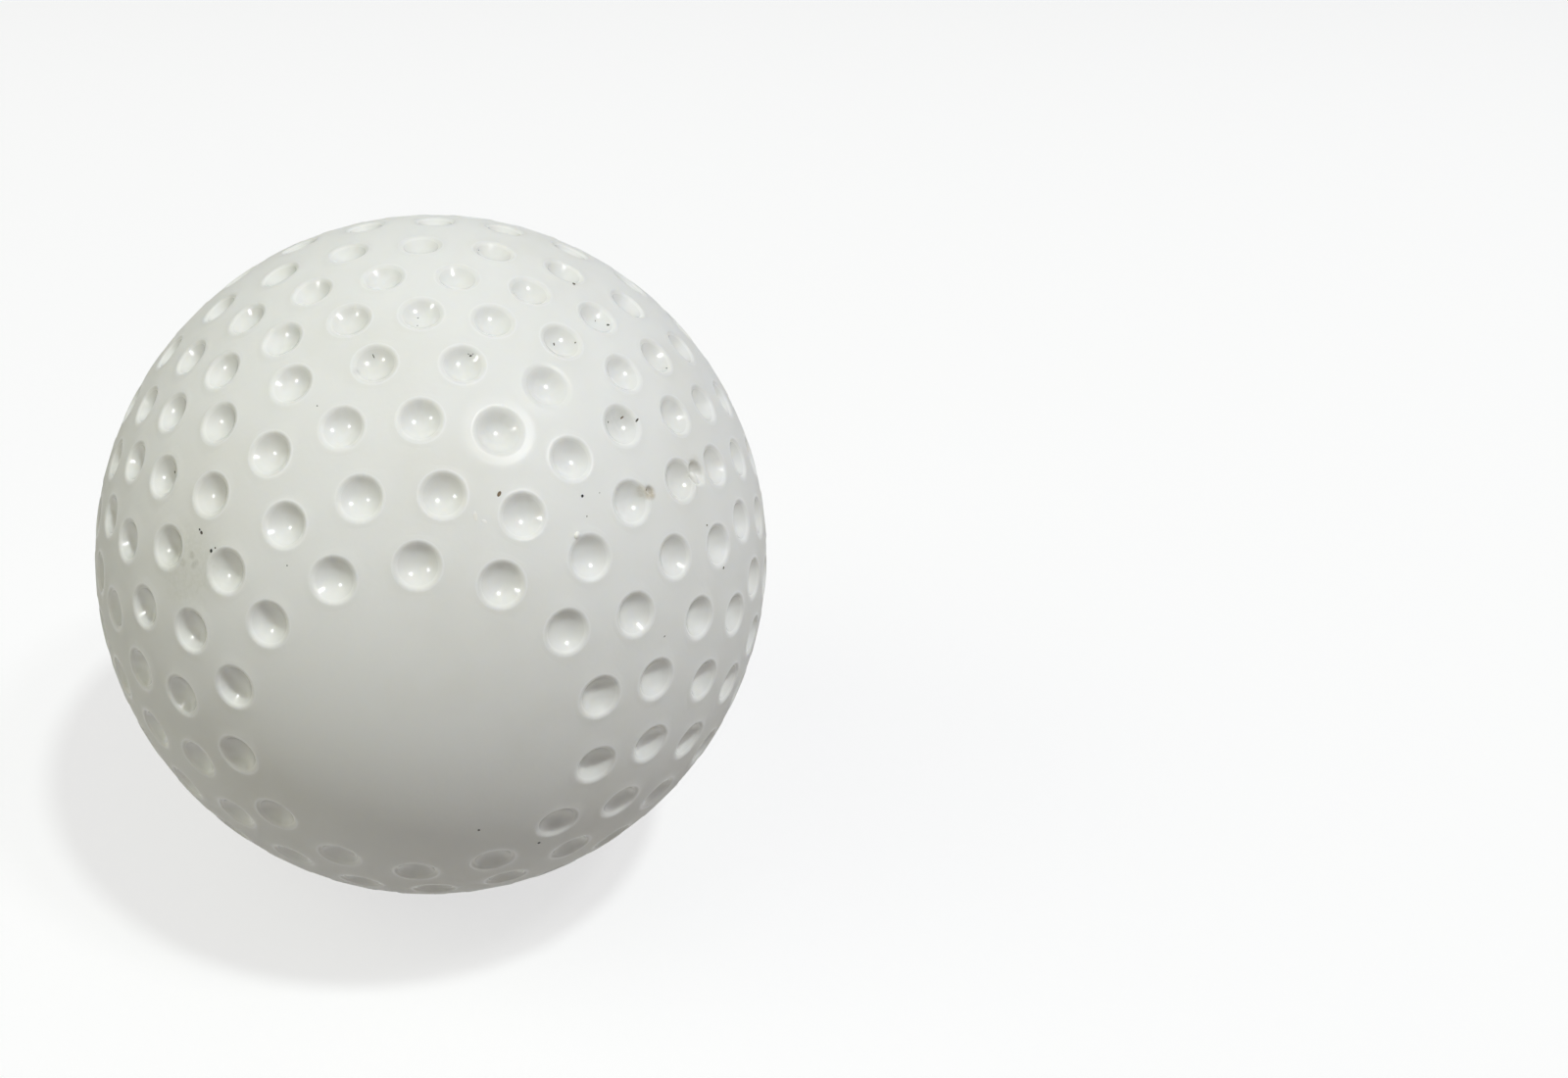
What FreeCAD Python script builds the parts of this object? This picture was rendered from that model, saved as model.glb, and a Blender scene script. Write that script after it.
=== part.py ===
import FreeCAD, Part
import math
import os

# A field hockey ball, moulded as one solid piece of plastic.
# Lengths are in mm and angles in degrees. The origin is the ball's centre, +Z is up,
# and Y is the moulding axis: a bare round patch lies at each end of it,
# and the parting plane is y = 0, in the middle of a bare band.

# The ball
ball_diameter = 73.0

# One dimple: a round cup with a rounded lip
cup_radius = 2.4
cup_depth = 1.0
lip_radius = 0.4
lip_slope = 6.0

# Rings of dimples on one half, counted from the bare patch outwards. Each row has the
# ring's angle from the middle of the patch, measured at the ball's centre, the number of
# its dimples, and the clocking of one of them: its place about Y, from +X towards +Z.
rings = [
    (27.4, 14, 12.6),
    (37.1, 19, 8.7),
    (47.6, 24, 15.2),
    (56.9, 24, 8.4),
    (65.8, 31, 9.6),
    (74.5, 31, 4.3),
    (83.9, 31, 10.5),
]
half_clocking = -1.7

# Worn lips: two dimples of the front half are rubbed wide open at the edge
worn_lip_radius = 1.3
worn_cup_depth = 1.1
worn_dimple_1 = (3, 4)
worn_dimple_2 = (4, 4)

# A second, smaller pit that runs into a dimple of ring 4
pit_radius = 1.2
pit_depth = 0.85
pit_lip_radius = 0.2
pit_angle = 60.8
pit_clocking = 36.0

# A long bead of plastic left in that pit. Its middle lies below the ball's surface,
# and it is turned from the way that leads off the patch.
bead_length = 1.6
bead_width = 0.75
bead_sink = 0.45
bead_turn = 80.0
bead_angle = 60.15
bead_clocking = 35.3

# A notch in the edge of a dimple of ring 3
notch_radius = 0.42
notch_depth = 0.4
notch_lip_radius = 0.1
notch_angle = 51.2
notch_clocking = 43.0

ball_radius = ball_diameter / 2
above = 1.0  # how far each cutter stands out of the ball
origin = FreeCAD.Vector(0, 0, 0)
up = FreeCAD.Vector(0, 0, 1)


def frame_at(angle, clocking, half):
    """Placement that turns +Z to a place on the ball. half is -1 on the front, 1 on the back."""
    a = math.radians(angle)
    c = math.radians(clocking)
    outward = FreeCAD.Vector(math.sin(a) * math.cos(c), half * math.cos(a), math.sin(a) * math.sin(c))
    along = FreeCAD.Vector(math.cos(a) * math.cos(c), -half * math.sin(a), math.cos(a) * math.sin(c))
    across = outward.cross(along)
    return FreeCAD.Placement(
        FreeCAD.Matrix(
            along.x, across.x, outward.x, 0,
            along.y, across.y, outward.y, 0,
            along.z, across.z, outward.z, 0,
            0, 0, 0, 1,
        )
    )


def point_on(centre, radius, angle):
    """Point of a circle in the XZ plane, angle in radians from +X."""
    return centre + FreeCAD.Vector(radius * math.cos(angle), 0, radius * math.sin(angle))


def cutter(cup, depth, lip):
    """Solid of one dimple at +Z: a cup, a lip that rolls over into the ball's surface, and a cone above it."""
    # The lip's circle crosses the ball's surface at a small slope, so that the two faces meet in a clean edge
    cup_centre = FreeCAD.Vector(0, 0, ball_radius - depth + cup)
    slope = math.radians(lip_slope)
    lip_distance = math.sqrt(ball_radius ** 2 + lip ** 2 - 2 * ball_radius * lip * math.cos(slope))
    height = (lip_distance ** 2 + cup_centre.z ** 2 - (cup + lip) ** 2) / (2 * cup_centre.z)
    lip_centre = FreeCAD.Vector(math.sqrt(lip_distance ** 2 - height ** 2), 0, height)
    # The lip touches the cup on the line between the two centres, and ends where it points straight out
    start = math.atan2(cup_centre.z - lip_centre.z, -lip_centre.x)
    end = math.atan2(lip_centre.z, lip_centre.x)
    bottom = FreeCAD.Vector(0, 0, ball_radius - depth)
    join = point_on(lip_centre, lip, start)
    rim = point_on(lip_centre, lip, end)
    reach = math.atan2(join.x, cup_centre.z - join.z)
    middle = point_on(cup_centre, cup, reach / 2 - math.pi / 2)
    peak = FreeCAD.Vector(0, 0, ball_radius + above)
    outline = Part.Wire(
        [
            Part.Arc(bottom, middle, join).toShape(),
            Part.Arc(join, point_on(lip_centre, lip, (start + end) / 2), rim).toShape(),
            Part.LineSegment(rim, peak).toShape(),
            Part.LineSegment(peak, bottom).toShape(),
        ]
    )
    return Part.Face(outline).revolve(origin, up, 360)


def placed(shape, angle, clocking, half, turn=0.0):
    """Copy of a shape made at +Z, turned about Z and then to its place on the ball."""
    copy = shape.copy()
    copy.Placement = frame_at(angle, clocking, half) * FreeCAD.Placement(origin, FreeCAD.Rotation(up, turn))
    return copy


def plain_ball():
    """Sphere whose poles and seam lie on the parting plane, in the bare band."""
    sphere = Part.makeSphere(ball_radius)
    sphere.Placement = FreeCAD.Placement(FreeCAD.Matrix(0, 0, 1, 0, 0, -1, 0, 0, 1, 0, 0, 0, 0, 0, 0, 1))
    return sphere


def dimple_cutters():
    """Cutters of every ring on both halves. The back half mirrors the front and is turned a little about Y."""
    plain = cutter(cup_radius, cup_depth, lip_radius)
    worn = cutter(cup_radius, worn_cup_depth, worn_lip_radius)
    cutters = []
    for half in (-1, 1):
        turn = half_clocking if half == 1 else 0
        for number, (angle, count, clocking) in enumerate(rings, 1):
            for index in range(count):
                is_worn = half == -1 and (number, index) in (worn_dimple_1, worn_dimple_2)
                shape = worn if is_worn else plain
                cutters.append(placed(shape, angle, clocking + turn + index * 360 / count, half))
    return cutters


def blemish_cutters():
    """Cutters of the second pit and the notch, on the front half."""
    return [
        placed(cutter(pit_radius, pit_depth, pit_lip_radius), pit_angle, pit_clocking, -1),
        placed(cutter(notch_radius, notch_depth, notch_lip_radius), notch_angle, notch_clocking, -1),
    ]


def bead():
    """Bead of plastic left in the second pit: half an ellipse turned about its long axis."""
    middle = FreeCAD.Vector(0, 0, ball_radius - bead_sink)
    end = FreeCAD.Vector(bead_length / 2, 0, 0)
    half = Part.ArcOfEllipse(Part.Ellipse(middle, bead_length / 2, bead_width / 2), 0, math.pi)
    outline = Part.Wire([half.toShape(), Part.LineSegment(middle - end, middle + end).toShape()])
    shape = Part.Face(outline).revolve(middle, FreeCAD.Vector(1, 0, 0), 360)
    return placed(shape, bead_angle, bead_clocking, -1, bead_turn)


def make_ball():
    """The whole ball as one solid."""
    dimpled = plain_ball().cut(dimple_cutters() + blemish_cutters())
    return dimpled.fuse(bead()).Solids[0]


os.makedirs("parts", exist_ok=True)
ball = make_ball()
ball.exportStep("parts/ball.step")
print("ball: valid", ball.isValid(), "faces", len(ball.Faces), "volume in cm3", round(ball.Volume / 1000, 2))
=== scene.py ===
import math
import bmesh
import bpy
from mathutils import Matrix, Vector
from mathutils.bvhtree import BVHTree


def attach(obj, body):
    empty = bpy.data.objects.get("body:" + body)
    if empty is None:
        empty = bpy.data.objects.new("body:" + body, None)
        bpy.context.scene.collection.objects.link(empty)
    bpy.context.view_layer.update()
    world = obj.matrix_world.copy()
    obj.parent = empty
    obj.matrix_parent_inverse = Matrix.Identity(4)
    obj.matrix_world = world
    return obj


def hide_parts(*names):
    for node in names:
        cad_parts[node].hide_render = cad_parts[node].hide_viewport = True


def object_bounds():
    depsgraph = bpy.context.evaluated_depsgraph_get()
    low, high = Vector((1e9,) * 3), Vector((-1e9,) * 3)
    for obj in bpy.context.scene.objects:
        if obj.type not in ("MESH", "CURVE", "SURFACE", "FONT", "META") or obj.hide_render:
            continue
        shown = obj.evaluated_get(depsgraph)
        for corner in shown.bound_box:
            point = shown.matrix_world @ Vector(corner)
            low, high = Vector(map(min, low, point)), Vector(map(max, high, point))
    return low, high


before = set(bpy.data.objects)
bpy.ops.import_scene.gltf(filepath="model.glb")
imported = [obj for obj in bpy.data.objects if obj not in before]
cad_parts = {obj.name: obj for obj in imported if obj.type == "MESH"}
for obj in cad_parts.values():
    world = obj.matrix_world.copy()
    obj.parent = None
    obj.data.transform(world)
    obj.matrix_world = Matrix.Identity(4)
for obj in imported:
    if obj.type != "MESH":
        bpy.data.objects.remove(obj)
cadLow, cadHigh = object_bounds()
ballRadius = (cadHigh.x - cadLow.x) / 2
mm = 0.001
weld = 0.001 * mm  # points this close are joined
front, back = -1, 1  # the two halves of the ball, by the sign of y


# Places on the ball. An angle is measured from the middle of the half's bare patch,
# and a place goes round the moulding axis, from +X towards +Z, both in degrees.


def onBall(angle, place, half, radius=ballRadius):
    a, p = math.radians(angle), math.radians(place)
    return Vector((math.sin(a) * math.cos(p), half * math.cos(a), math.sin(a) * math.sin(p))) * radius


def turnTo(angle, place, half):  # turns +Z outwards there, and +X away from the bare patch
    outward, along = onBall(angle, place, half, 1), onBall(angle + 90, place, half, 1)
    return Matrix((along, outward.cross(along), outward)).transposed()


# The dimpled ball: a cup in each cell, cells in rings, and rings on two mirrored halves

dimple = {
    "plain": {
        "cup": 2.4 * mm, "depth": 1.0 * mm, "lip": 0.4 * mm,
        "lift": 0.045 * mm,  # of the lip's outer edge above the land
        "rim": [(0.18, 0.06), (0.55, 0)],  # way out from the lip and height above the land, in mm
    },
    "worn": {
        "cup": 2.4 * mm, "depth": 1.1 * mm, "lip": 1.3 * mm,
        "lift": 0,
        "rim": [(0.05, 0), (0.1, 0)],
    },
    "wornPlaces": [(3, 4), (4, 4)],  # ring and place in it, on the front half
    "lipSlope": 6,  # degrees between lip and land where they meet
    "sides": 6,  # edges on each side of a cell, so 24 round a dimple
    "corner": 45,  # degrees from the middle of a side to a corner, where the spin starts
    "lipSteps": 2,
    "cupSteps": 4,
    "landShare": 0.45,  # where the loop between rim and cell edge runs
}

layout = {
    "rings": [  # angle, count and place of the first dimple
        (27.4, 14, 12.6),
        (37.1, 19, 8.7),
        (47.6, 24, 15.2),
        (56.9, 24, 8.4),
        (65.8, 31, 9.6),
        (74.5, 31, 4.3),
        (83.9, 31, 10.5),
    ],
    "halfTurn": -1.7,  # the back half against the front
    "cellReach": 4.2,  # degrees from a dimple's middle to the edge of its cell
    "level": 0.01 * mm,  # how far a ring's open edges may lie from one height
    "patchLoops": 14,  # loops from ring 1 to the middle of the bare patch
    "bandCuts": 3,
}


def circles(shape):  # middles of the lip's and the cup's circle, in a section through the axis
    cupMiddle = Vector((0, 0, ballRadius - shape["depth"] + shape["cup"]))
    lip, slope = shape["lip"], math.radians(dimple["lipSlope"])
    reach = math.sqrt(ballRadius ** 2 + lip ** 2 - 2 * ballRadius * lip * math.cos(slope))
    height = (reach ** 2 + cupMiddle.z ** 2 - (shape["cup"] + lip) ** 2) / (2 * cupMiddle.z)
    return Vector((math.sqrt(reach ** 2 - height ** 2), 0, height)), cupMiddle


def section(shape):  # from the rim, over the lip, to the middle of the cup
    lipMiddle, cupMiddle = circles(shape)
    reach, lip = lipMiddle.length, shape["lip"]
    outward = math.atan2(lipMiddle.z, lipMiddle.x)
    start = outward + math.acos((ballRadius ** 2 - reach ** 2 - lip ** 2) / (2 * reach * lip))
    end = math.atan2(cupMiddle.z - lipMiddle.z, -lipMiddle.x)
    points = []
    for step in range(dimple["lipSteps"] + 1):
        turn = start + (end - start) * step / dimple["lipSteps"]
        points.append(lipMiddle + lip * Vector((math.cos(turn), 0, math.sin(turn))))
    points[0] += points[0].normalized() * shape["lift"]
    opening = math.atan2(points[-1].x, cupMiddle.z - points[-1].z)
    for step in range(1, dimple["cupSteps"] + 1):
        turn = opening * (1 - step / dimple["cupSteps"])
        points.append(cupMiddle + shape["cup"] * Vector((math.sin(turn), 0, -math.cos(turn))))
    return points


def extruded(bm, edges):  # the new edges and verts
    made = bmesh.ops.extrude_edge_only(bm, edges=edges)["geom"]
    newEdges = [g for g in made if isinstance(g, bmesh.types.BMEdge)]
    return newEdges, [g for g in made if isinstance(g, bmesh.types.BMVert)]


def turnedDimple(shape):
    bm = bmesh.new()
    start = Matrix.Rotation(math.radians(dimple["corner"]), 3, "Z")
    line = [bm.verts.new(start @ p) for p in section(shape)]
    edges = [bm.edges.new(pair) for pair in zip(line, line[1:])]
    around = {"cent": (0, 0, 0), "axis": (0, 0, 1), "angle": math.tau, "use_merge": True}
    bmesh.ops.spin(bm, geom=line + edges, steps=4 * dimple["sides"], **around)
    bmesh.ops.remove_doubles(bm, verts=bm.verts, dist=weld)
    return bm


def addRim(bm, shape):  # returns its outermost edges
    start = section(shape)[0]
    loop = [e for e in bm.edges if e.is_boundary]
    for out, height in shape["rim"]:
        loop, verts = extruded(bm, loop)
        turn = math.atan2(start.x, start.z) + out * mm / ballRadius
        for v in verts:
            side = Vector((v.co.x, v.co.y, 0)).normalized()
            v.co = (side * math.sin(turn) + Vector((0, 0, math.cos(turn)))) * (ballRadius + height * mm)
    return loop


def spreadLand(verts, share, angle, pitch, place, half):  # this share of the way to the sides of the cell
    sides, turn = dimple["sides"], turnTo(angle, place, half)
    for v in verts:
        way = math.degrees(math.atan2(v.co.y, v.co.x)) - dimple["corner"]
        side, step = divmod(round(way / 90 * sides) % (4 * sides), sides)
        across = 1 - 2 * step / sides
        u, w = [(across, 1), (-1, across), (-across, -1), (1, -across)][side]
        edge = onBall(angle + u * layout["cellReach"], place - half * w * pitch / 2, half, 1)
        v.co = v.co.normalized().lerp(turn.inverted() @ edge, share).normalized() * ballRadius


def cellMesh(angle, pitch, place, half, shape):  # one dimple and the land out to the sides of its cell
    bm = turnedDimple(shape)
    loop, land = extruded(bm, addRim(bm, shape))
    loop, edge = extruded(bm, loop)
    spreadLand(land, dimple["landShare"], angle, pitch, place, half)
    spreadLand(edge, 1, angle, pitch, place, half)
    bmesh.ops.transform(bm, matrix=turnTo(angle, place, half).to_4x4(), verts=bm.verts)
    mesh = bpy.data.meshes.new("cell")
    bm.to_mesh(mesh)
    bm.free()
    return mesh


def addRing(bm, number, half):
    angle, count, place = layout["rings"][number - 1]
    place += layout["halfTurn"] if half == back else 0
    pitch = 360 / count
    plain, worn = (cellMesh(angle, pitch, place, half, dimple[kind]) for kind in ("plain", "worn"))
    for index in range(count):
        start = len(bm.verts)
        bm.from_mesh(worn if half == front and (number, index) in dimple["wornPlaces"] else plain)
        bm.verts.ensure_lookup_table()
        spin = Matrix.Rotation(-math.radians(index * pitch), 3, "Y")
        bmesh.ops.rotate(bm, cent=(0, 0, 0), matrix=spin, verts=bm.verts[start:])


def openLoop(bm, number, half, side):  # a ring's open edges towards the patch (-1) or the band (1)
    angle = layout["rings"][number - 1][0] + side * layout["cellReach"]
    height = math.cos(math.radians(angle)) * half * ballRadius
    found = []
    for e in bm.edges:
        if e.is_boundary and all(abs(v.co.y - height) < layout["level"] for v in e.verts):
            found.append(e)
    return found


def closePatch(bm, half):  # loops that shrink to the middle of the bare patch
    edge, loop = layout["rings"][0][0] - layout["cellReach"], openLoop(bm, 1, half, -1)
    for step in range(1, layout["patchLoops"] + 1):
        loop, verts = extruded(bm, loop)
        angle = edge * (1 - step / layout["patchLoops"])
        for v in verts:
            v.co = onBall(angle, math.degrees(math.atan2(v.co.z, v.co.x)), half)
    bmesh.ops.remove_doubles(bm, verts=verts, dist=weld)


def makeBall():
    bm = bmesh.new()
    last = len(layout["rings"])
    for half in (front, back):
        for number in range(1, last + 1):
            addRing(bm, number, half)
    bmesh.ops.remove_doubles(bm, verts=bm.verts, dist=weld)
    for half in (front, back):
        closePatch(bm, half)
        for number in range(1, last):
            loops = openLoop(bm, number, half, 1) + openLoop(bm, number + 1, half, -1)
            bmesh.ops.bridge_loops(bm, edges=loops)
    loops = openLoop(bm, last, front, 1) + openLoop(bm, last, back, 1)
    band = bmesh.ops.bridge_loops(bm, edges=loops)
    rungs = [e for e in band["edges"] if e.verts[0].co.y * e.verts[1].co.y < 0]
    cut = bmesh.ops.subdivide_edges(bm, edges=rungs, cuts=layout["bandCuts"])
    for v in [g for g in cut["geom_inner"] if isinstance(g, bmesh.types.BMVert)]:
        v.co = v.co.normalized() * ballRadius
    return bm


print("modelling the dimpled ball")
ballMesh = makeBall()


# Blemishes cut into the ball: a second pit that runs into a dimple, and a notch in the lip of another

blemish = {
    "pit": {
        "angle": 60.8, "place": 36.0, "cup": 1.2 * mm, "depth": 0.85 * mm, "lip": 0.2 * mm,
        "reach": 3.2,  # degrees from its middle within which the mesh is made finer
    },
    "notch": {
        "angle": 51.2, "place": 43.0, "cup": 0.42 * mm, "depth": 0.4 * mm, "lip": 0.1 * mm,
        "reach": 1.5,
    },
    "beside": [(4, 2), (3, 2)],  # ring and place in it of the dimples they meet
    "cuts": 5,
    "softening": 2,
}


def surfaceAt(angle, shape):  # height of a cut's surface over the ball's middle, this angle from its axis
    lipMiddle, cupMiddle = circles(shape)
    join = lipMiddle + shape["lip"] * (cupMiddle - lipMiddle).normalized()
    s, c = math.sin(angle), math.cos(angle)
    if angle < math.atan2(join.x, join.z):
        return cupMiddle.z * c - math.sqrt(shape["cup"] ** 2 - (cupMiddle.z * s) ** 2)
    if angle < math.atan2(lipMiddle.x, lipMiddle.z):
        aside = lipMiddle.x * c - lipMiddle.z * s
        return lipMiddle.x * s + lipMiddle.z * c + math.sqrt(shape["lip"] ** 2 - aside ** 2)
    return math.inf


def cutBlemishes(bm):
    cuts = [(onBall(b["angle"], b["place"], front, 1), b) for b in (blemish["pit"], blemish["notch"])]
    near = []
    for f in bm.faces:
        middle = f.calc_center_median()
        if any(middle.angle(axis) < math.radians(b["reach"]) for axis, b in cuts):
            near.append(f)
    for number, index in blemish["beside"]:
        angle, count, place = layout["rings"][number - 1]
        cuts.append((onBall(angle, place + index * 360 / count, front, 1), dimple["plain"]))
    edges = list(dict.fromkeys(e for f in near for e in f.edges))
    made = bmesh.ops.subdivide_edges(bm, edges=edges, cuts=blemish["cuts"], use_grid_fill=True)
    inner = [g for g in made["geom_inner"] if isinstance(g, bmesh.types.BMVert)]
    verts = dict.fromkeys(inner + [v for e in edges if e.is_valid for v in e.verts])
    for v in verts:
        depths = [surfaceAt(v.co.angle(axis), b) for axis, b in cuts]
        v.co = v.co.normalized() * min(depths + [max(v.co.length, ballRadius)])
    axes = {"use_axis_x": True, "use_axis_y": True, "use_axis_z": True}
    for step in range(blemish["softening"]):
        bmesh.ops.smooth_vert(bm, verts=inner, factor=0.5, **axes)


print("cutting the blemishes")
cutBlemishes(ballMesh)
bmesh.ops.recalc_face_normals(ballMesh, faces=ballMesh.faces)
print("faces", len(ballMesh.faces), "open edges", sum(1 for e in ballMesh.edges if not e.is_manifold))


# Finishes

plastic = {
    "colour": (0.87, 0.87, 0.84, 1),
    "colourSoiled": (0.8, 0.79, 0.73, 1),
    "soil": {"scale": 70, "detail": 4, "levels": (0.45, 0.75), "values": (0, 0.5)},
    "landDepths": (0.22 * mm, 0.02 * mm),  # below the surface, where the finish starts and is full
    "landRoughness": 0.7,
    "cupRoughness": 0.21,
    "bump": 0.012 * mm,
    "grain": {"scale": 1300, "detail": 2},
    "refraction": 1.5,
    "glow": 0.25,  # share of the light that wanders under the surface
    "glowRadius": (1.0, 0.9, 0.7),
    "glowScale": 1.0 * mm,
    "stainsAndShade": [  # angle, place, reach in mm, strength and colour; stains, and painted shade in the notch and the pit
        (50.3, 44.1, 1.0, 0.45, (0.5, 0.44, 0.32, 1)),
        # partly a real brown smear, partly painted shade over the notch's lower wall, which faces the
        # light
        (51.0, 42.7, 0.85, 0.75, (0.42, 0.35, 0.22, 1)),
        # painted shade: darkens the second pit beside the bead
        (61.6, 36.8, 1.3, 0.25, (0.5, 0.47, 0.37, 1)),
        (42.5, 149.0, 5.5, 0.22, (0.5, 0.51, 0.4, 1)),
        (43.1, 146.3, 0.5, 0.3, (0.35, 0.34, 0.27, 1)),
        (41.8, 147.5, 0.5, 0.26, (0.35, 0.34, 0.27, 1)),
        (41.7, 146.4, 0.4, 0.22, (0.35, 0.34, 0.27, 1)),
        (43.7, 149.3, 0.5, 0.26, (0.35, 0.34, 0.27, 1)),
        (57.6, 53.6, 2.0, 0.2, (0.46, 0.45, 0.38, 1)),
        (56.1, 101.4, 0.6, 0.3, (0.46, 0.46, 0.44, 1)),
    ],
    "mottle": {"scale": 2500, "detail": 3, "levels": (0.35, 0.65), "values": (0.55, 1)},
    "polish": [  # angle, place, reach in mm and roughness
        (47.6, 75.2, 3.8, 0.39),
        (56.9, 68.4, 3.7, 0.46),
    ],
    "crestHighlightColour": (0.91, 0.91, 0.885, 1),  # painted highlight: a lighter colour on the crest of a rim, where it catches the light
    "crestHighlightHeights": (0.04 * mm, 0.06 * mm),
    "rimRoughness": 0.42,
    "rimHeights": (0.01 * mm, 0.04 * mm),
}

# painted highlight: a lighter copy of the ball's plastic, used for the bead and the flecks so they look
# lit
paintedLitPlastic = {
    "light": (0.95, 0.94, 0.91, 1),
    "dark": (0.9, 0.88, 0.82, 1),
    "shade": {"scale": 1500, "detail": 3, "levels": (0.3, 0.7), "values": (0, 1)},
    "roughness": 0.35,
}

dirt = {
    "specks": [(0.02, 0.02, 0.018, 1), (0.11, 0.085, 0.06, 1)],
    "crumbs": [(0.16, 0.12, 0.075, 1), (0.34, 0.23, 0.13, 1)],
    "shade": {"scale": 900, "detail": 3, "levels": (0.4, 0.6), "values": (0, 1)},
    "roughness": 0.7,
}


def addNode(tree, kind, inputs=None, **settings):
    node = tree.nodes.new(kind)
    for name, value in settings.items():
        setattr(node, name, value)
    for name, value in (inputs or {}).items():
        if isinstance(value, bpy.types.NodeSocket):
            tree.links.new(value, node.inputs[name])
        else:
            node.inputs[name].default_value = value
    return node


def mapped(tree, value, fromLow, fromHigh, toLow=0, toHigh=1):
    ends = {"Value": value, "From Min": fromLow, "From Max": fromHigh, "To Min": toLow, "To Max": toHigh}
    return addNode(tree, "ShaderNodeMapRange", ends, interpolation_type="SMOOTHSTEP").outputs["Result"]


def mixed(tree, factor, first, second):  # of two colours
    ends = {"Factor": factor, 6: first, 7: second}
    return addNode(tree, "ShaderNodeMix", ends, data_type="RGBA").outputs[2]


def between(tree, factor, first, second):  # of two numbers
    return addNode(tree, "ShaderNodeMix", {"Factor": factor, 2: first, 3: second}).outputs[0]


def either(tree, first, second):  # 1 where one of them is
    return addNode(tree, "ShaderNodeMath", {0: first, 1: second}, operation="MAXIMUM").outputs[0]


def product(tree, first, second):
    return addNode(tree, "ShaderNodeMath", {0: first, 1: second}, operation="MULTIPLY").outputs[0]


def nearSpot(tree, point, angle, place, reach, core=0.35):  # 1 in a spot's core, 0 beyond its reach
    middle = onBall(angle, place, front)
    gap = addNode(tree, "ShaderNodeVectorMath", {0: point, 1: middle}, operation="DISTANCE")
    return mapped(tree, gap.outputs["Value"], reach * mm, core * reach * mm)


def noise(tree, point, pattern):
    inputs = {"Vector": point, "Scale": pattern["scale"], "Detail": pattern["detail"]}
    return addNode(tree, "ShaderNodeTexNoise", inputs).outputs["Fac"]


def patches(tree, point, pattern):  # noise between two levels becomes a value between two others
    return mapped(tree, noise(tree, point, pattern), *pattern["levels"], *pattern["values"])


def newMaterial(name):
    material = bpy.data.materials.new(name)
    material.use_nodes = True
    tree = material.node_tree
    point = addNode(tree, "ShaderNodeTexCoord").outputs["Object"]
    return material, tree, tree.nodes["Principled BSDF"], point


def makePlastic():
    material, tree, shader, point = newMaterial("ball_plastic")
    height = addNode(tree, "ShaderNodeVectorMath", {0: point}, operation="LENGTH").outputs["Value"]
    land = mapped(tree, height, *(ballRadius - depth for depth in plastic["landDepths"]))
    rim = mapped(tree, height, *(ballRadius + up for up in plastic["rimHeights"]))
    # painted highlight: the crest of each rim is coloured lighter
    crestHighlight = mapped(tree, height, *(ballRadius + up for up in plastic["crestHighlightHeights"]))
    soil = patches(tree, point, plastic["soil"])
    colour = mixed(tree, soil, plastic["colour"], plastic["colourSoiled"])
    colour = mixed(tree, crestHighlight, colour, plastic["crestHighlightColour"])
    mottle = patches(tree, point, plastic["mottle"])
    # stains, and painted shade in the notch and the pit, mixed into the colour
    for angle, place, reach, strength, stainAndShade in plastic["stainsAndShade"]:
        spot = product(tree, nearSpot(tree, point, angle, place, reach), mottle)
        colour = mixed(tree, product(tree, spot, strength), colour, stainAndShade)
    tree.links.new(colour, shader.inputs["Base Color"])
    landRoughness = plastic["landRoughness"]
    for angle, place, reach, roughness in plastic["polish"]:
        spot = nearSpot(tree, point, angle, place, reach, core=0.8)
        landRoughness = between(tree, spot, landRoughness, roughness)
    landRoughness = between(tree, rim, landRoughness, plastic["rimRoughness"])
    roughness = between(tree, land, plastic["cupRoughness"], landRoughness)
    tree.links.new(roughness, shader.inputs["Roughness"])
    grain = noise(tree, point, plastic["grain"])
    bumps = {"Height": grain, "Distance": plastic["bump"], "Strength": land}
    normal = addNode(tree, "ShaderNodeBump", bumps).outputs["Normal"]
    tree.links.new(normal, shader.inputs["Normal"])
    shader.inputs["IOR"].default_value = plastic["refraction"]
    shader.inputs["Subsurface Weight"].default_value = plastic["glow"]
    shader.inputs["Subsurface Radius"].default_value = plastic["glowRadius"]
    shader.inputs["Subsurface Scale"].default_value = plastic["glowScale"]
    return material


def makePaintedLitPlastic():  # painted highlight: a lighter, glossier copy of the ball's plastic, so the bead and flecks look lit
    material, tree, shader, point = newMaterial("plastic_painted_highlight")
    shade = patches(tree, point, paintedLitPlastic["shade"])
    colour = mixed(tree, shade, paintedLitPlastic["light"], paintedLitPlastic["dark"])
    tree.links.new(colour, shader.inputs["Base Color"])
    shader.inputs["Roughness"].default_value = paintedLitPlastic["roughness"]
    return material


def makeDirt(name):
    material, tree, shader, point = newMaterial("dirt_" + name)
    shade = patches(tree, point, dirt["shade"])
    tree.links.new(mixed(tree, shade, *dirt[name]), shader.inputs["Base Color"])
    shader.inputs["Roughness"].default_value = dirt["roughness"]
    return material


def addPiece(name, bm, material):
    mesh = bpy.data.meshes.new(name)
    bm.to_mesh(mesh)
    bm.free()
    mesh.shade_smooth()
    mesh.materials.append(material)
    piece = bpy.data.objects.new(name, mesh)
    bpy.context.scene.collection.objects.link(piece)
    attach(piece, "root")
    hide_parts("ball")
    return piece


print("making the finishes")
ballPlastic = makePlastic()
# the bead and flecks get a lighter copy of the plastic, a painted highlight
paintedLitMaterial = makePaintedLitPlastic()
surface = BVHTree.FromBMesh(ballMesh)
addPiece("dimpled_ball", ballMesh, ballPlastic)


# Bits on the surface: a bead in the second pit, flecks of raised plastic, crumbs and specks of dirt

bead = {
    "angle": 60.15,
    "place": 35.3,
    "length": 1.6,  # in mm, as width and sink
    "width": 0.75,
    "sink": 0.45,  # of its middle below the ball's surface
    "turn": 80,  # of its length from the way off the patch
    "detail": 4,
}

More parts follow.
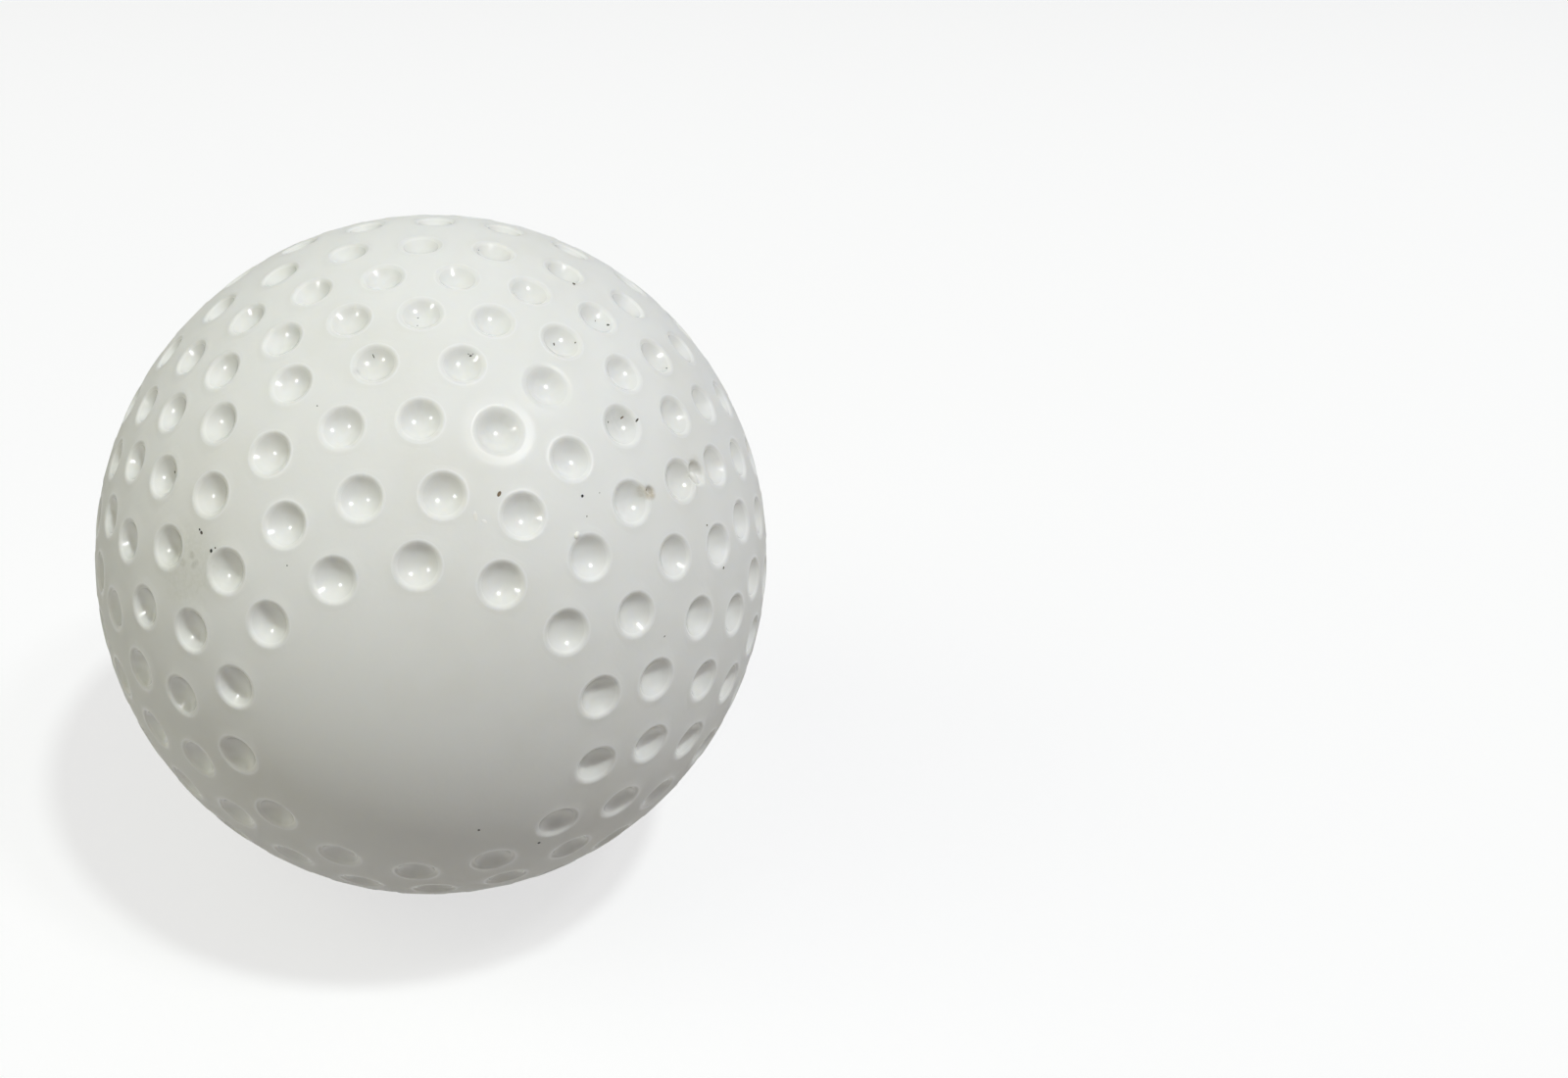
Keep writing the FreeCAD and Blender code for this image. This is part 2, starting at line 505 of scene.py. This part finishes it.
bits = {  # angle, place, length, width and height in mm, and turn of the length as above
    "flecks": [
        (38.4, 52.2, 0.72, 0.46, 0.42, 0),
        (35.0, 76.3, 0.9, 0.35, 0.04, 20),
        (34.6, 73.9, 0.5, 0.3, 0.03, 80),
    ],
    "crumbs": [
        (38.8, 72.2, 0.54, 0.3, 0.1, 168),
        (58.9, 53.4, 0.42, 0.17, 0.04, 157),
        (51.2, 43.3, 0.26, 0.18, 0.04, 20),
    ],
    "specks": [
        (44.2, 141.3, 0.38, 0.28, 0.06, 0),
        (44.8, 141.3, 0.26, 0.18, 0.05, 0),
        (41.0, 141.6, 0.37, 0.35, 0.08, 0),
        (40.8, 140.3, 0.2, 0.16, 0.04, 0),
        (57.1, 142.0, 0.26, 0.24, 0.06, 0),
        (32.0, 126.2, 0.14, 0.12, 0.04, 0),
        (51.9, 109.3, 0.16, 0.12, 0.04, 30),
        (58.9, 98.8, 0.45, 0.09, 0.04, 21),
        (59.0, 82.2, 0.26, 0.16, 0.06, 100),
        (59.15, 81.85, 0.16, 0.06, 0.04, 132),
        (59.2, 82.6, 0.16, 0.07, 0.04, 50),
        (66.3, 91.5, 0.18, 0.1, 0.04, 90),
        (64.5, 91.5, 0.16, 0.14, 0.04, 0),
        (80.8, 66.9, 0.38, 0.34, 0.06, 0),
        (75.2, 60.0, 0.36, 0.24, 0.05, 60),
        (75.6, 62.0, 0.14, 0.12, 0.04, 0),
        (66.1, 68.4, 0.38, 0.17, 0.05, 24),
        (67.1, 65.2, 0.2, 0.17, 0.05, 0),
        (74.5, 48.0, 0.22, 0.16, 0.04, 0),
        (84.6, 82.6, 0.14, 0.1, 0.04, 0),
        (56.8, 55.5, 0.2, 0.17, 0.05, 0),
        (59.4, 51.1, 0.44, 0.18, 0.05, 166),
        (43.6, 55.1, 0.3, 0.26, 0.06, 0),
        (45.5, 52.1, 0.1, 0.08, 0.03, 0),
        (41.5, 52.2, 0.13, 0.11, 0.03, 0),
        (56.4, 28.3, 0.22, 0.18, 0.05, 0),
        (56.1, 19.1, 0.3, 0.26, 0.05, 0),
        (40.1, 17.7, 0.22, 0.11, 0.04, 20),
        (17.9, 301.1, 0.27, 0.24, 0.04, 0),
        (28.9, 310.6, 0.36, 0.3, 0.05, 0),
    ],
}


def addBlob(bm, spot, normal, along, turn, size, detail):  # a rounded bit, its size along, across and up
    along = (along - normal * along.dot(normal)).normalized()
    stand = Matrix((along, normal.cross(along), normal)).transposed()
    stand = stand @ Matrix.Rotation(math.radians(turn), 3, "Z")
    spread = Matrix.Diagonal([s / 2 * mm for s in size])
    set4 = Matrix.Translation(spot) @ (stand @ spread).to_4x4()
    bmesh.ops.create_icosphere(bm, subdivisions=detail, radius=1, matrix=set4)


def addBead():
    bm = bmesh.new()
    angle, place = bead["angle"], bead["place"]
    spot = onBall(angle, place, front, ballRadius - bead["sink"] * mm)
    normal, along = onBall(angle, place, front, 1), onBall(angle + 90, place, front, 1)
    size = (bead["length"], bead["width"], bead["width"])
    addBlob(bm, spot, normal, along, bead["turn"], size, bead["detail"])
    addPiece("bead", bm, paintedLitMaterial)


def addBits(name, detail, material):
    bm = bmesh.new()
    for angle, place, length, width, height, turn in bits[name]:
        outside = onBall(angle, place, front, 1.2 * ballRadius)
        spot, normal = surface.ray_cast(outside, -outside)[:2]
        along = onBall(angle + 90, place, front, 1)
        addBlob(bm, spot, normal, along, turn, (length, width, height), detail)
    addPiece(name, bm, material)


print("adding the bead, flecks, specks and crumbs")
addBead()
addBits("flecks", 3, paintedLitMaterial)
addBits("specks", 2, makeDirt("specks"))
addBits("crumbs", 3, makeDirt("crumbs"))


# Floor, white to the camera and in reflections, with the ball's shadow

stage = {
    "radius": 1.2,
    "bounce": (0.37, 0.355, 0.34, 1),  # what it throws back on the ball
    "roughness": 0.9,
    "paper": (0.93, 0.93, 0.93, 1),
    "shadowShare": 0.35,  # how much of the paper's brightness is light on it
    "glow": 1.04,
}


def makeFloor():
    bm = bmesh.new()
    bmesh.ops.create_circle(bm, cap_ends=True, segments=96, radius=stage["radius"])
    bmesh.ops.translate(bm, verts=bm.verts, vec=(0, 0, -ballRadius))
    mesh = bpy.data.meshes.new("floor")
    bm.to_mesh(mesh)
    bm.free()
    floor = bpy.data.objects.new("floor", mesh)
    bpy.context.scene.collection.objects.link(floor)
    material, tree, shader = newMaterial("floor_paper")[:3]
    shader.inputs["Base Color"].default_value = stage["bounce"]
    shader.inputs["Roughness"].default_value = stage["roughness"]
    shader.inputs["Specular IOR Level"].default_value = 0
    ray = addNode(tree, "ShaderNodeLightPath").outputs
    seen = either(tree, ray["Is Camera Ray"], ray["Is Glossy Ray"])
    seen = either(tree, seen, ray["Is Transmission Ray"])
    paper = addNode(tree, "ShaderNodeBsdfDiffuse", {"Color": stage["paper"]}).outputs[0]
    glow = addNode(tree, "ShaderNodeEmission", {"Strength": stage["glow"]}).outputs[0]
    white = addNode(tree, "ShaderNodeMixShader", {0: stage["shadowShare"], 1: glow, 2: paper}).outputs[0]
    look = addNode(tree, "ShaderNodeMixShader", {0: seen, 1: shader.outputs[0], 2: white}).outputs[0]
    below = addNode(tree, "ShaderNodeNewGeometry").outputs["Backfacing"]  # seen through from below
    clear = addNode(tree, "ShaderNodeBsdfTransparent").outputs[0]
    look = addNode(tree, "ShaderNodeMixShader", {0: below, 1: look, 2: clear}).outputs[0]
    tree.links.new(look, tree.nodes["Material Output"].inputs["Surface"])
    mesh.materials.append(material)


print("laying the floor")
makeFloor()


# Camera

camera = {
    "azimuth": 2.43, "elevation": 30.53, "distance": 4.3525,  # round the ball, in degrees and ball radii
    "tilt": 8.63, "pan": -1.37,  # from the ball's middle to the camera's axis
    "focalPixels": 1431.7, "axisPixel": (476.2, 336), "image": (1600, 1100),
    "clip": (0.01, 20),
}


def towards(azimuth, elevation):
    a, e = math.radians(azimuth), math.radians(elevation)
    return Vector((math.sin(a) * math.cos(e), -math.cos(a) * math.cos(e), math.sin(e)))


def makeCamera():
    data = bpy.data.cameras.new("camera")
    eye = bpy.data.objects.new("camera", data)
    bpy.context.scene.collection.objects.link(eye)
    side = towards(camera["azimuth"], camera["elevation"])
    eye.location = side * ballRadius * camera["distance"]
    look = side.to_track_quat("Z", "Y").to_matrix()
    pan, tilt = math.radians(camera["pan"]), math.radians(camera["tilt"])
    look = look @ Matrix.Rotation(pan, 3, "Y") @ Matrix.Rotation(tilt, 3, "X")
    eye.rotation_euler = look.to_euler()
    wide, high = camera["image"]
    data.sensor_width = 36
    data.lens = data.sensor_width * camera["focalPixels"] / wide
    data.shift_x = (wide / 2 - camera["axisPixel"][0]) / wide
    data.shift_y = (camera["axisPixel"][1] - high / 2) / wide
    data.clip_start, data.clip_end = camera["clip"]
    bpy.context.scene.camera = eye


print("placing the camera")
makeCamera()


# Light

lights = {
    "distance": 2.5,
    "lamps": [  # azimuth, elevation and width in degrees, brightness of white paper facing it, and colour
        (45, 68, 5, 0.478, (0.94, 1, 0.985)),
        (60, 60, 7, 0.142, (0.99, 1, 1.015)),
        (40, 78, 44, 0.09, (1.1, 0.97, 1.25)),
        (-80, 31, 40, 0.158, (0.99, 1, 0.77)),
        (-60, 52, 40, 0.174, (0.96, 1, 0.88)),
        (100, 20, 40, 0.085, (1, 0.99, 1.05)),
        (10, 8, 55, 0.1, (1.08, 1, 0.95)),
        (185, 12, 50, 0.14, (1, 1, 1)),
    ],
    "shines": [  # the same, for lamps that only leave a shine
        (47, 55, 6, 0.5, (1, 1, 1)),
        (-57, 31, 5, 0.26, (1, 1, 1)),
    ],
    "world": 0.02,
}


def makeLamp(name, shine, azimuth, elevation, width, level, colour):
    data = bpy.data.lights.new(name, "AREA")
    data.shape = "DISK"
    data.size = 2 * lights["distance"] * math.tan(math.radians(width / 2))
    data.energy = level * (math.pi * lights["distance"]) ** 2
    data.color = colour
    lamp = bpy.data.objects.new(name, data)
    side = towards(azimuth, elevation)
    lamp.location = side * lights["distance"]
    lamp.rotation_euler = side.to_track_quat("Z", "Y").to_euler()
    lamp.visible_glossy, lamp.visible_diffuse = shine, not shine
    bpy.context.scene.collection.objects.link(lamp)


def makeWorld():
    world = bpy.data.worlds.new("world")
    bpy.context.scene.world = world
    world.use_nodes = True
    tree = world.node_tree
    ray = addNode(tree, "ShaderNodeLightPath").outputs
    seen = either(tree, ray["Is Camera Ray"], ray["Is Transmission Ray"])
    strength = between(tree, seen, lights["world"], 1)
    tree.nodes["Background"].inputs["Color"].default_value = (1, 1, 1, 1)
    tree.links.new(strength, tree.nodes["Background"].inputs["Strength"])


print("lighting the ball")
for number, lamp in enumerate(lights["lamps"], 1):
    makeLamp(f"lamp_{number}", False, *lamp)
for number, lamp in enumerate(lights["shines"], 1):
    makeLamp(f"shine_{number}", True, *lamp)
makeWorld()
bpy.context.scene.view_settings.view_transform = "Standard"
